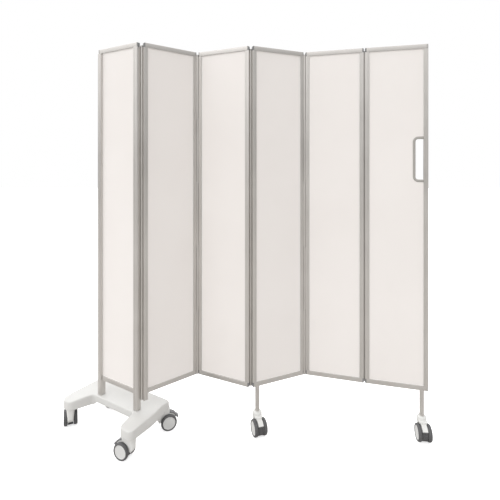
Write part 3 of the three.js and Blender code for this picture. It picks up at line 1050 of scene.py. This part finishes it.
def tyre_profile():
    """Section of the tyre from its inner side out: radius, then place along the axle."""
    middle = wheel_width / 2
    low = wheel_radius - tyre_wall
    tread = []
    for step in range(tread_steps + 1):
        angle = math.pi * step / tread_steps
        tread.append((low + tyre_wall * math.sin(angle), middle - tyre_half * math.cos(angle)))
    face = wheel_width - hub_recess
    inner = [(hub_radius, wheel_seam)]
    outer = [(hub_radius + wheel_seam, face + wheel_seam), (hub_radius, face)]
    return inner + tread + outer + inner


def hub_profile():
    """Section of the hub: a bore from the inner side, a web, and a dished outer face with a lip."""
    edge = wheel_width - hub_recess
    face = edge - hub_dish
    lip = hub_radius - hub_gap
    return [
        (0, axle_depth), (axle_bore, axle_depth), (axle_bore, hub_set_back), (hub_boss, hub_set_back),
        (hub_boss, hub_web), (lip - hub_lip, hub_web), (lip - hub_lip, hub_edge_back), (lip, hub_edge_back),
        (lip, edge - wheel_seam), (lip - wheel_seam, edge), (lip - hub_edge_width, edge),
        (lip - hub_lip, face), (hub_centre, face + hub_set_back), (0, face + hub_set_back),
    ]


def rib_tree():
    inputs = {"Count": "Int", "Size": "Vector", "Middle": "Vector", "Finish": "Material"}
    tree = geometry_tree("hub_ribs", inputs)
    given = plant(tree, "NodeGroupInput").outputs
    blade = plant(tree, "GeometryNodeMeshCube", {"Size": given["Size"]})
    moved = plant(tree, "GeometryNodeTransform", {
        "Geometry": blade.outputs["Mesh"], "Translation": given["Middle"],
    })
    spots = plant(tree, "GeometryNodeMeshLine", {"Count": given["Count"], "Offset": (0, 0, 0)})
    part = plant(tree, "ShaderNodeMath", {0: math.tau, 1: given["Count"]}, operation="DIVIDE")
    index = plant(tree, "GeometryNodeInputIndex")
    angle = plant(tree, "ShaderNodeMath", {0: part.outputs[0], 1: index.outputs[0]}, operation="MULTIPLY")
    turn = plant(tree, "ShaderNodeCombineXYZ", {"Z": angle.outputs[0]})
    ribs = copied(tree, spots.outputs[0], moved.outputs[0], Rotation=turn.outputs[0])
    return close_tree(tree, ribs, given["Finish"])


def mesh_shell(mesh):
    """A mesh as a shell, so that it can be joined to others."""
    return [tuple(v.co) for v in mesh.vertices], [tuple(face.vertices) for face in mesh.polygons]


def worn_tyre():
    look = Look("tyre_grey", tyre_grey, tyre_roughness)
    clouds = look.noise(tyre_cloud_size, detail=4.0)
    fine = look.noise(tyre_grain_size, detail=1.0)
    look.set("Base Color", look.tint(clouds.held(*tyre_span), tyre_grey, darker(tyre_grey, tyre_shade)))
    look.set("Roughness", 0.46 + 0.2 * (clouds - 0.5))
    look.relief(fine, tyre_grain_depth)
    return look.material


tyre_finish = worn_tyre()
hub_finish = moulded("hub_white", hub_white, darker(hub_white, 0.95), 0.4, hub_grain_size)
rib_length = hub_radius - hub_lip - rib_start
rib_values = {
    "Count": rib_count, "Size": (rib_length, rib_thickness, rib_rise),
    "Middle": (rib_start + rib_length / 2, 0, rib_middle), "Finish": hub_finish,
}
rib_mesh = grown(rib_tree(), rib_values)
hub_shell = joined(lathed(hub_profile(), hub_steps), mesh_shell(rib_mesh))
tyre_shell = lathed(tyre_profile(), tyre_steps)
for name in caster_names:
    for side in ("left", "right"):
        node = f"{name}_wheel_{side}"
        aim = 1 if side == "left" else -1
        place = caster_places[name] @ along_axle(aim, wheel_inner)
        mesh = make_mesh(f"{node}_tyre", tyre_shell, place)
        finish_piece(f"{node}_tyre", mesh, node, tyre_finish, (node,), sharp=40)
        mesh = make_mesh(f"{node}_hub", hub_shell, place)
        finish_piece(f"{node}_hub", mesh, node, hub_finish, (), hub_bevel, 30)

# A white housing holds the wheels: a hood over them, a skirt in front and a wall between them.
# It is moulded in one with the boss of the axle; on a leg it carries a round collar for the tube.
# A lip closes the wall's rear end and a core fills the room behind the axle; both are real parts, coloured
# near black as painted shade for the shaded room between the wheels.
hood_white = (0.78, 0.78, 0.76, 1)
hood_half_length = 0.028
hood_half_width = 0.017
hood_corner = 0.012
hood_under = 0.0757
hood_step = 0.0015
skirt_taper = 0.34
skirt_lip = 0.001
arch_steps = 30
skirt_tip = 0.031
skirt_knee = 0.047
skirt_front = 0.016
wheel_room = 0.0353
wall_half = 0.0108
wall_depth = 0.0078
wall_start = 40
wall_end = 148
wall_root = 120
wall_root_steps = 12
wall_foot_back = 0.004
wall_foot_rise = 0.002
boss_radius = 0.0098
boss_start = 150
boss_end = 300
boss_steps = 16
collar_radius = 0.019
collar_round = 0.005
collar_low = 0.0752
collar_foot_round = 0.003
collar_foot_steps = 5
collar_steps = 64
leg_hood_top = 0.078
base_seam = 0.0006
tube_seam = 0.0003
stub_radius = 0.004
stub_play = 0.0005
stub_steps = 32
melt_size = 0.0007
ease_rounds = 6
thin_share = 0.3
# Near-black colour of the lip and the core: partly their own dark plastic, partly painted shade for the
# room between the wheels.
lip_grey_and_painted_shade = (0.09, 0.09, 0.093, 1)
lip_proud = 0.0006
lip_lap = 1
lip_reach = 7
lip_steps = 4
lip_bevel = 0.0008
core_bevel = 0.001
core_radius = 0.0305
core_gap = 0.0004
core_start = 128
core_end = 325
core_steps = 24
axle_centre = (-trail, wheel_radius)


def hood_outline(top):
    """Side view of the hood and the skirt, ahead of the wheels and over them."""
    under = math.degrees(math.acos((hood_half_length - trail) / wheel_room))
    tip = math.degrees(math.asin((skirt_tip - wheel_radius) / wheel_room))
    rear = [(-hood_half_length, top), (-hood_half_length, hood_under)]
    return rear + arc(axle_centre, wheel_room, 180 - under, tip, arch_steps) + [
        (skirt_front, skirt_tip - skirt_lip), (hood_half_length, skirt_knee), (hood_half_length, top),
    ]


def hood_half(x, z, top):
    """Half width of the hood: rounded in plan, narrower towards the lower end of the skirt."""
    past = max(0, abs(x) - (hood_half_length - hood_corner))
    plan = hood_half_width - hood_corner + math.sqrt(max(0, hood_corner**2 - past**2))
    share = min(1, max(0, (top - z) / (top - skirt_tip)))
    return plan * (1 - skirt_taper * share)


def hood_shell(top):
    outline = with_extra_points(hood_outline(top), hood_step)
    sheet, faces = filled(outline, lambda x, z: 0, hood_step)
    near = [(x, -hood_half(x, z, top), z) for x, z, _ in sheet]
    far = [(x, hood_half(x, z, top), z) for x, z, _ in sheet]
    wall_vertices = []
    wall_faces = []
    for x, z in outline:
        half = hood_half(x, z, top)
        wall_vertices.extend([(x, -half, z), (x, half, z)])
    count = len(outline)
    for i in range(count):
        j = (i + 1) % count
        wall_faces.append((2 * i, 2 * j, 2 * j + 1, 2 * i + 1))
    return joined((near, faces), (far, faces), (wall_vertices, wall_faces))


upright_to_level = Matrix(((1, 0, 0, 0), (0, 0, -1, 0), (0, 1, 0, 0), (0, 0, 0, 1)))


def wall_shell():
    """The wall between the wheels: an arch over them, joined to the boss."""
    outline = arc(axle_centre, wheel_room, wall_start, wall_end, arch_steps)
    outline += arc(axle_centre, wheel_room - wall_depth, wall_end, wall_root, wall_root_steps)
    outline += arc(axle_centre, boss_radius, boss_start, boss_end, boss_steps)
    outline += [(skirt_front - wall_foot_back, skirt_tip + wall_foot_rise)]
    return turned(drawn(outline, -wall_half, wall_half), upright_to_level)


def fused(name, *shells):
    """Several shells melted into one soft-edged moulding."""
    mesh = bpy.data.meshes.new(name)
    mesh.from_pydata(*shell_lists(joined(*shells)))
    work = bmesh.new()
    work.from_mesh(mesh)
    bmesh.ops.remove_doubles(work, verts=work.verts, dist=double_reach)
    bmesh.ops.recalc_face_normals(work, faces=work.faces)
    work.to_mesh(mesh)
    work.free()
    holder = bpy.data.objects.new(name, mesh)
    bpy.context.scene.collection.objects.link(holder)
    melt = holder.modifiers.new("melt", "REMESH")
    melt.mode = "VOXEL"
    melt.voxel_size = melt_size
    ease = holder.modifiers.new("ease", "SMOOTH")
    ease.factor = 0.5
    ease.iterations = ease_rounds
    thin = holder.modifiers.new("thin", "DECIMATE")
    thin.ratio = thin_share
    depsgraph = bpy.context.evaluated_depsgraph_get()
    result = bpy.data.meshes.new_from_object(holder.evaluated_get(depsgraph))
    bpy.data.objects.remove(holder)
    return result


def collar_profile(low, top):
    """The round collar of a leg's caster, rounded above and below."""
    upper = arc((collar_radius - collar_round, top - collar_round), collar_round, 0, 90, round_steps)
    middle = (collar_radius - collar_foot_round, low + collar_foot_round)
    lower = arc(middle, collar_foot_round, -90, 0, collar_foot_steps)
    return [(0, low)] + lower + upper + [(0, top)]


def axle_shell():
    reach = wall_half + axle_depth - stub_play
    profile = [(0, -reach), (stub_radius, -reach), (stub_radius, reach), (0, reach)]
    return turned(lathed(profile, stub_steps), along_axle(-1))


hood_finish = moulded("housing_white", hood_white, darker(hood_white, 0.94), 0.4, hub_grain_size)
# The lip and the core share this near-black finish, which paints in the shade between the wheels.
lip_finish_and_painted_shade = moulded("lip_and_core_painted_shade", lip_grey_and_painted_shade, darker(lip_grey_and_painted_shade, 0.8), 0.5)
hood_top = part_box("base")[0].z - base_seam
leg_collar_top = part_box("end_leg_tube")[0].z - tube_seam
leg_collar = lathed(collar_profile(collar_low, leg_collar_top), collar_steps)
plain_hood = fused("hood_master", hood_shell(hood_top), wall_shell())
leg_hood = fused("leg_hood_master", hood_shell(leg_hood_top), wall_shell(), leg_collar)
lip_first = wall_end - lip_lap
lip_last = wall_end + lip_reach
lip = arc(axle_centre, wheel_room + lip_proud, lip_first, lip_last, lip_steps)
lip += arc(axle_centre, wheel_room - wall_depth - lip_proud, lip_last, lip_first, lip_steps)
core = arc(axle_centre, core_radius, core_start, core_end, core_steps)
core += arc(axle_centre, boss_radius + core_gap, core_end, core_start, core_steps)
dark_shells = {
    part: turned(drawn(outline, -wall_half, wall_half), upright_to_level)
    for part, outline in (("lip", lip), ("core", core))
}
for name in caster_names:
    place = caster_places[name]
    mesh = (leg_hood if name.endswith("leg") else plain_hood).copy()
    mesh.transform(place)
    node = f"{name}_caster_housing"
    finish_piece(f"{name}_hood", mesh, f"{name}_swivel", hood_finish, (node,), sharp=60)
    mesh = make_mesh(f"{name}_axle", axle_shell(), place)
    finish_piece(f"{name}_axle", mesh, f"{name}_swivel", steel_finish)
    # The lip and the core are dark parts, made near black as painted shade between the wheels.
    for part, bevel in (("lip", lip_bevel), ("core", core_bevel)):
        mesh = make_mesh(f"{name}_{part}", dark_shells[part], place)
        finish_piece(f"{name}_{part}", mesh, f"{name}_swivel", lip_finish_and_painted_shade, (), bevel)

# The right-hand casters of the base have a brake: a grey pedal curved over the wheels.
# It turns on a pin at the top of the hood and ends in a rounded toe grip.
pedal_grey = (0.20, 0.20, 0.205, 1)
pedal_inner = 0.0364
pedal_thickness = 0.004
pedal_root = 101
pedal_tip = 160
toe_radius = 0.0046
pedal_half = 0.011
pivot_radius = 0.0031
pedal_steps = 16
round_bar = (0, 345, 23)


def pedal_parts():
    """The curved strip, its thicker toe and its round pivot."""
    outline = arc(axle_centre, pedal_inner, pedal_root, pedal_tip, pedal_steps)
    outline += arc(axle_centre, pedal_inner + pedal_thickness, pedal_tip, pedal_root, pedal_steps)
    strip = drawn(outline, -pedal_half, pedal_half)
    parts = [strip]
    for middle_radius, angle, radius in (
        (pedal_inner + toe_radius, pedal_tip, toe_radius),
        (pedal_inner + pedal_thickness / 2, pedal_root, pivot_radius),
    ):
        middle = arc(axle_centre, middle_radius, angle, angle, 1)[0]
        parts.append(drawn(arc(middle, radius, *round_bar), -pedal_half, pedal_half))
    return [turned(part, upright_to_level) for part in parts]


pedal_finish = moulded("pedal_grey", pedal_grey, darker(pedal_grey, 0.85), 0.45)
pedal_master = fused("pedal_master", *pedal_parts())
for name in ("base_front_right", "base_rear_right"):
    mesh = pedal_master.copy()
    mesh.transform(caster_places[name])
    node = f"{name}_brake_pedal"
    finish_piece(f"{name}_pedal", mesh, f"{name}_pedal", pedal_finish, (node,), sharp=60)

# A plain pale studio: a white floor that runs out of sight, and soft light from all round.
# The light is strongest from the left and from above the eye, weaker from the right and overhead.
# Seen straight on, the floor and the surroundings are plain white; the part sees them dimmer.
floor_size = 30.0
floor_white = (0.9, 0.9, 0.9, 1)
floor_roughness = 0.9
floor_glow = 0.62
floor_seen_by_part = (0.62, 0.605, 0.59, 1)
pure_white = (1, 1, 1, 1)
key_place = (-2.6, -3.2, 2.6)
key_aim = (0, 0, 0.8)
key_size = (2.4, 2.4)
key_power = 5
sky_stops = ((0.0, 0.9), (0.12, 0.94), (0.3, 1.28), (0.5, 1.8), (0.75, 2.15), (1.0, 2.5))
sky_side = 0.36


def make_floor():
    mesh = bpy.data.meshes.new("floor")
    half = floor_size / 2
    corners = [(-half, -half, 0), (half, -half, 0), (half, half, 0), (-half, half, 0)]
    mesh.from_pydata(corners, [], [(0, 1, 2, 3)])
    floor = bpy.data.objects.new("floor", mesh)
    bpy.context.scene.collection.objects.link(floor)
    look = Look("floor_white", floor_white, floor_roughness)
    look.set("Specular IOR Level", 0.0)
    look.set("Emission Color", pure_white)
    look.set("Emission Strength", floor_glow)
    dim = look.node("ShaderNodeBsdfDiffuse", {"Color": floor_seen_by_part})
    is_seen = look.node("ShaderNodeLightPath", out="Is Camera Ray")
    white = Flow(look, look.shader.outputs[0])
    both = look.node("ShaderNodeMixShader", (is_seen, dim, white))
    look.join(both, look.tree.nodes["Material Output"].inputs["Surface"])
    mesh.materials.append(look.material)


def soft_box(name, place, aim, size, power):
    """An area light that looks at a point."""
    data = bpy.data.lights.new(name, "AREA")
    data.shape = "RECTANGLE"
    data.size, data.size_y = size
    data.energy = power
    lamp = bpy.data.objects.new(name, data)
    lamp.location = place
    direction = Vector(aim) - Vector(place)
    lamp.rotation_euler = direction.to_track_quat("-Z", "Y").to_euler()
    bpy.context.scene.collection.objects.link(lamp)


class Studio(Look):
    """The surroundings, built like a material."""

    def __init__(self, name):
        self.world = bpy.data.worlds.new(name)
        self.world.use_nodes = True
        self.tree = self.world.node_tree


def make_surroundings():
    studio = Studio("studio")
    aim = studio.node("ShaderNodeTexCoord", out="Generated")
    along = {name: studio.node("ShaderNodeSeparateXYZ", (aim,), out=name) for name in ("X", "Z")}
    ends = [(position, (value, value, value, 1)) for position, value in sky_stops]
    sky = studio.node("ShaderNodeValToRGB", (along["Z"],), stops=ends)
    level = sky * (1 - sky_side * along["X"])
    ambient = studio.node("ShaderNodeBackground", {"Strength": level})
    backdrop = studio.node("ShaderNodeBackground", {"Color": pure_white, "Strength": 1.0})
    is_seen = studio.node("ShaderNodeLightPath", out="Is Camera Ray")
    both = studio.node("ShaderNodeMixShader", (is_seen, ambient, backdrop))
    studio.join(both, studio.tree.nodes["World Output"].inputs["Surface"])
    bpy.context.scene.world = studio.world


make_floor()
soft_box("key", key_place, key_aim, key_size, key_power)
make_surroundings()
bpy.context.scene.view_settings.view_transform = "Standard"
